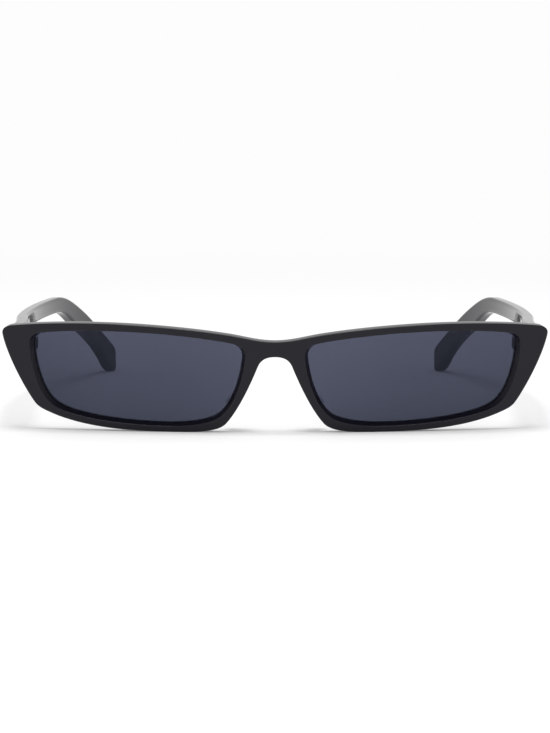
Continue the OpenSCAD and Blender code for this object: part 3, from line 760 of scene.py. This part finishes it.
# %% Group: worn edges
def edge_group():
    """The stored edge value, broken up by noise so that the wear comes and goes along the edge."""
    tree = bpy.data.node_groups.new("worn_edges", "ShaderNodeTree")
    socket(tree, "Vector", "NodeSocketVector", "INPUT")
    socket(tree, "Edge", "NodeSocketFloat", "INPUT", 0.0)
    socket(tree, "Wear", "NodeSocketFloat", "OUTPUT")
    given, result = node(tree, "NodeGroupInput"), node(tree, "NodeGroupOutput")
    patches = between(tree, noise(tree, given.outputs["Vector"], 220.0, 3.0), 0.42, 0.7)
    narrow = maths(tree, "POWER", given.outputs["Edge"], 1.5)
    tree.links.new(maths(tree, "MULTIPLY", patches, narrow, clamp=True), result.inputs["Wear"])
    return tree


groups = {"scratches": scratches_group(), "film": film_group(), "edges": edge_group()}
print("node groups:", ", ".join(tree.name for tree in groups.values()))

# %% Material helpers
def new_material(name):
    """A material with its shader, and the Object coordinates that every pattern here reads."""
    material = bpy.data.materials.new(name)
    material.use_nodes = True
    tree = material.node_tree
    shader = tree.nodes["Principled BSDF"]
    place = node(tree, "ShaderNodeTexCoord")
    return material, tree, shader, place.outputs["Object"]


def use_group(tree, key, vector, **values):
    """A placed node group with its own values."""
    placed_group = node(tree, "ShaderNodeGroup", node_tree=groups[key])
    tree.links.new(vector, placed_group.inputs["Vector"])
    for name, value in values.items():
        plug(tree, value, placed_group.inputs[name])
    return placed_group.outputs


def mixed(tree, share, one, two):
    """A colour between two others."""
    mix = node(tree, "ShaderNodeMix", data_type="RGBA")
    plug(tree, share, mix.inputs[0])
    plug(tree, one, mix.inputs[6])
    plug(tree, two, mix.inputs[7])
    return mix.outputs[2]


def bumped(tree, shader, height, strength, distance):
    """A bump from a height, on the shader's normal."""
    bump = node(tree, "ShaderNodeBump")
    bump.inputs["Strength"].default_value = strength
    bump.inputs["Distance"].default_value = distance
    plug(tree, height, bump.inputs["Height"])
    tree.links.new(bump.outputs["Normal"], shader.inputs["Normal"])


# %% [markdown]
# ## Black polished plastic
# The frame is cellulose acetate: nearly black in itself, so that almost all that the eye sees is a thin,
# even reflection of the pale table. Hand polishing leaves a faint waviness, and the plastic has a cloud of
# pigment that only shows against the light. A plain dark grey would look painted. The refraction is set
# below that of real acetate, because that brings the front to the brightness that it has in the photo.

# %% Acetate
def acetate_material():
    """Near black with a pigment cloud, gloss that varies with the film on it, scratches and worn edges."""
    material, tree, shader, place = new_material("black_acetate")
    film = use_group(tree, "film", place, Scale=45.0)
    marks = use_group(tree, "scratches", place, Scale=700.0, Amount=0.6)
    stored = node(tree, "ShaderNodeAttribute", attribute_name="edge")
    wear = use_group(tree, "edges", place, Edge=stored.outputs["Fac"])
    cloud = noise(tree, place, 120.0, 5.0, 0.65)
    pigment = mixed(tree, cloud, (0.0022, 0.0014, 0.0066, 1), (0.0036, 0.0026, 0.0086, 1))
    dusted = mixed(tree, maths(tree, "MULTIPLY", film["Dust"], 0.10), pigment, (0.35, 0.34, 0.32, 1))
    worn = mixed(tree, maths(tree, "MULTIPLY", wear["Wear"], 0.03), dusted, (0.20, 0.20, 0.22, 1))
    tree.links.new(worn, shader.inputs["Base Color"])
    gloss = maths(tree, "ADD", maths(tree, "MULTIPLY", film["Film"], 0.05), 0.05)
    gloss = maths(tree, "ADD", gloss, maths(tree, "MULTIPLY", marks["Mask"], 0.10))
    gloss = maths(tree, "ADD", gloss, maths(tree, "MULTIPLY", wear["Wear"], 0.12), clamp=True)
    tree.links.new(gloss, shader.inputs["Roughness"])
    shader.inputs["IOR"].default_value = 1.36
    waves = noise(tree, place, 90.0, 1.0)
    relief = maths(tree, "SUBTRACT", waves, maths(tree, "MULTIPLY", marks["Mask"], 0.12))
    bumped(tree, shader, relief, 0.25, 0.05 * MM)
    return material


# %% [markdown]
# ## Tinted lenses
# The lens is clear plastic dyed blue-grey. It lets about a twentieth of the light through, and each polished
# face mirrors about a fiftieth of what lies straight before it. Its colour is painted a little paler towards
# the top and the nose and darker low down. That is painted light and shade, standing for what is seen through
# the lens there. Mixing a see-through shader in by hand would lose the bending of light at the edge, so it is
# a transmitting shader whose colour is the dye with that painted light and shade.

# %% Lens
# Painted light and shade: the lens colour runs from the dark dye to a paler colour upwards and towards the
# nose.
dark_dye, pale_dye_and_painted_light = (0.042, 0.046, 0.068, 1), (0.072, 0.077, 0.113, 1)
painted_light_low, painted_light_outer, painted_light_upwards, painted_light_noseward = 14 * MM, 32 * MM, 0.032 / MM, 0.010 / MM
cloud_shift, cloud_share = 0.3, 0.6


def lens_material():
    """Full transmission in the colour of the dye with painted light and shade in it, very smooth, with a thin
    film of finger marks and dust. The share of the paler colour is painted light, a slope upwards plus a
    slope towards the nose, plus a soft cloud."""
    material, tree, shader, place = new_material("blue_grey_lens")
    film = use_group(tree, "film", place, Scale=38.0)
    marks = use_group(tree, "scratches", place, Scale=500.0, Amount=0.4)
    cloud = noise(tree, place, 25.0, 2.0)
    parts = node(tree, "ShaderNodeSeparateXYZ")
    tree.links.new(place, parts.inputs[0])
    upwards = maths(tree, "SUBTRACT", parts.outputs["Z"], painted_light_low)
    noseward = maths(tree, "SUBTRACT", painted_light_outer, maths(tree, "ABSOLUTE", parts.outputs["X"]))
    # Painted light: the share of the paler colour rises upwards and towards the nose.
    painted_light_slopes = maths(tree, "ADD", maths(tree, "MULTIPLY", noseward, painted_light_noseward),
                   maths(tree, "MULTIPLY", upwards, painted_light_upwards))
    clouded = maths(tree, "MULTIPLY", maths(tree, "ADD", cloud, cloud_shift), cloud_share)
    cloud_and_painted_light = maths(tree, "ADD", painted_light_slopes, clouded, clamp=True)
    dye_with_painted_light = mixed(tree, cloud_and_painted_light, dark_dye, pale_dye_and_painted_light)
    tree.links.new(dye_with_painted_light, shader.inputs["Base Color"])
    shader.inputs["Transmission Weight"].default_value = 1.0
    shader.inputs["IOR"].default_value = 1.34
    shader.inputs["Specular Tint"].default_value = (0.64, 0.70, 1.0, 1)
    gloss = maths(tree, "ADD", maths(tree, "MULTIPLY", film["Film"], 0.02),
                  maths(tree, "MULTIPLY", marks["Mask"], 0.04))
    tree.links.new(maths(tree, "ADD", gloss, 0.012), shader.inputs["Roughness"])
    bumped(tree, shader, maths(tree, "MULTIPLY", film["Dust"], 0.3), 0.1, 0.01 * MM)
    return material


# %% [markdown]
# ## Metal
# The hinges are nickel silver, tumbled dull after stamping. The screws are turned steel and show rings, and
# the core wire is drawn and shows lines along its length. The three share one recipe with other values.

# %% Hinges, screws and wires
def metal_material(name, light, dark, rough, scale, stretch):
    """A metal whose tone and roughness follow noise that is stretched along the way it was worked."""
    material, tree, shader, place = new_material(name)
    film = use_group(tree, "film", place, Scale=300.0)
    marks = use_group(tree, "scratches", place, Scale=2500.0, Amount=0.7)
    grain = noise(tree, place, scale, 3.0, 0.6, stretch=stretch)
    tone = mixed(tree, grain, dark, light)
    dulled = mixed(tree, maths(tree, "MULTIPLY", film["Film"], 0.3), tone, dark)
    tree.links.new(dulled, shader.inputs["Base Color"])
    shader.inputs["Metallic"].default_value = 1.0
    worked = maths(tree, "ADD", maths(tree, "MULTIPLY", grain, 0.18), rough)
    tree.links.new(maths(tree, "ADD", worked, maths(tree, "MULTIPLY", marks["Mask"], 0.12), clamp=True),
                   shader.inputs["Roughness"])
    bumped(tree, shader, grain, 0.3, 0.01 * MM)
    return material


finishes = {
    "frame_plastic": acetate_material(),
    "lens": lens_material(),
    "hinge_metal": metal_material("nickel_silver", (0.60, 0.57, 0.52, 1), (0.40, 0.38, 0.35, 1), 0.24, 900.0,
                                  (1, 1, 1)),
    "screw_metal": metal_material("turned_steel", (0.66, 0.66, 0.67, 1), (0.46, 0.46, 0.48, 1), 0.20, 2200.0,
                                  (1, 1, 0.1)),
    "core_wire": metal_material("drawn_wire", (0.56, 0.54, 0.50, 1), (0.38, 0.37, 0.34, 1), 0.22, 1600.0,
                                (1, 0.05, 1)),
}

# %% [markdown]
# ## Dressing the construction
# Each new piece takes the finish of its slot, rides on the body it belongs to, and the node of the
# construction that it is drawn for is hidden. The hinges, screws and wires are exact already, so they stay
# and only get their metal.

# %% Finishes, bodies and replaced nodes
def dress(piece, slot_name, body, replaced):
    """Gives the piece the finish of a slot and the body that it moves with, and hides the node that it is
    drawn for.
    """
    piece.data.materials.clear()
    piece.data.materials.append(finishes[slot_name])
    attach(piece, body)
    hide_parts(replaced)


dress(front, "frame_plastic", "front", "front_frame")
for number, side in enumerate(("left", "right")):
    dress(end_pieces[number], "frame_plastic", "front", "front_frame")
    dress(lenses[number], "lens", "front", f"lens_{side}")
    dress(nose_pads[number], "frame_plastic", "front", f"nose_pad_{side}")
    dress(temples[number], "frame_plastic", f"{side}_temple", f"temple_{side}")
kept = {"front_hinge": "hinge_metal", "temple_hinge": "hinge_metal", "hinge_screw": "screw_metal",
        "temple_core": "core_wire"}
for name, slot_name in kept.items():
    for side in ("left", "right"):
        metal_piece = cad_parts[f"{name}_{side}"]
        metal_piece.data.materials.clear()
        metal_piece.data.materials.append(finishes[slot_name])
print("kept from the construction:", len(kept) * 2, "pieces; drawn again:", 1 + 4 * 2)

# %% [markdown]
# ## Table, light and camera
# The photo has a white table without a horizon, and soft light from all round. A dome of even light gives
# that; one broad lamp overhead adds the soft shadow under the rims. The table fades to the plain background
# with distance, so that no edge shows, and the camera stands where the photo was taken from. The photo's
# table is exposed almost to plain white, so this one gets a small glow. The glow shows in the picture and in
# what the gloss mirrors and the lenses let through. It adds nothing to the soft light.

# %% Table
background, table_lift = 0.98, 0.13
table_size, fade_start, fade_end = 3.0, 0.18, 0.60


def table_material():
    """A pale matt table whose colour, for rays that show it, turns to the plain background with distance."""
    material, tree, shader, place = new_material("pale_table")
    shader.inputs["Base Color"].default_value = (0.95, 0.95, 0.95, 1)
    shader.inputs["Roughness"].default_value = 0.9
    shader.inputs["Specular IOR Level"].default_value = 0.0
    shader.inputs["Emission Color"].default_value = (1, 1, 1, 1)
    distance = node(tree, "ShaderNodeVectorMath", operation="LENGTH")
    tree.links.new(place, distance.inputs[0])
    glow = node(tree, "ShaderNodeEmission")
    glow.inputs["Color"].default_value = (background, background, background, 1)
    path = node(tree, "ShaderNodeLightPath")
    shows = maths(tree, "MAXIMUM", maths(tree, "MAXIMUM", path.outputs["Is Camera Ray"],
                                         path.outputs["Is Glossy Ray"]), path.outputs["Is Transmission Ray"])
    far = between(tree, distance.outputs["Value"], fade_start, fade_end)
    blend = node(tree, "ShaderNodeMixShader")
    tree.links.new(maths(tree, "MULTIPLY", shows, table_lift), shader.inputs["Emission Strength"])
    tree.links.new(maths(tree, "MULTIPLY", far, shows), blend.inputs[0])
    tree.links.new(shader.outputs[0], blend.inputs[1])
    tree.links.new(glow.outputs[0], blend.inputs[2])
    tree.links.new(blend.outputs[0], tree.nodes["Material Output"].inputs["Surface"])
    return material


corner = table_size / 2
table_mesh = bpy.data.meshes.new("table")
table_corners = [(-corner, -corner, 0), (corner, -corner, 0), (corner, corner, 0), (-corner, corner, 0)]
table_mesh.from_pydata(table_corners, [], [(0, 1, 2, 3)])
table = bpy.data.objects.new("table", table_mesh)
scene.collection.objects.link(table)
table_mesh.materials.append(table_material())
table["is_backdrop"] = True

# %% Light
sky_level, lamp_power, lamp_size, lamp_height = 0.62, 5.2, 0.45, 1.1
world = bpy.data.worlds.new("studio")
scene.world = world
world.use_nodes = True
sky = world.node_tree
backdrop = sky.nodes["Background"]
backdrop.inputs["Color"].default_value = (1, 1, 1, 1)
sky_path = node(sky, "ShaderNodeLightPath")
seen = maths(sky, "MAXIMUM", sky_path.outputs["Is Camera Ray"], sky_path.outputs["Is Glossy Ray"])
seen = maths(sky, "MAXIMUM", seen, sky_path.outputs["Is Transmission Ray"])
extra = maths(sky, "MULTIPLY", seen, background - sky_level)
sky.links.new(maths(sky, "ADD", extra, sky_level), backdrop.inputs["Strength"])

lamp_data = bpy.data.lights.new("softbox", "AREA")
lamp_data.shape, lamp_data.size, lamp_data.energy = "SQUARE", lamp_size, lamp_power
lamp = bpy.data.objects.new("softbox", lamp_data)
lamp.location = (0, -0.15, lamp_height)
scene.collection.objects.link(lamp)

# %% Camera
camera_back, camera_height, camera_pitch, camera_lens = 0.7185, 0.0951, math.radians(6.79), 121.85
camera_data = bpy.data.cameras.new("camera")
camera_data.lens = camera_lens
camera = bpy.data.objects.new("camera", camera_data)
camera.location = (0, -camera_back, camera_height)
camera.rotation_euler = (math.pi / 2 - camera_pitch, 0, 0)
scene.collection.objects.link(camera)
scene.camera = camera
scene.view_settings.view_transform = "Standard"

# %% [markdown]
# ## Size
# Both boxes, of the construction and of the dressed glasses, are printed side by side. The dressed
# glasses must not be larger than the construction.

# %% Boxes of the construction and of the dressed glasses
bpy.context.view_layer.update()
new_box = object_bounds()
boxes = {"cad": [list(corner_point) for corner_point in cad_box],
         "visual": [list(corner_point) for corner_point in new_box]}
for word, box_corners in boxes.items():
    print(word, [[round(v / MM, 3) for v in corner_point] for corner_point in box_corners])
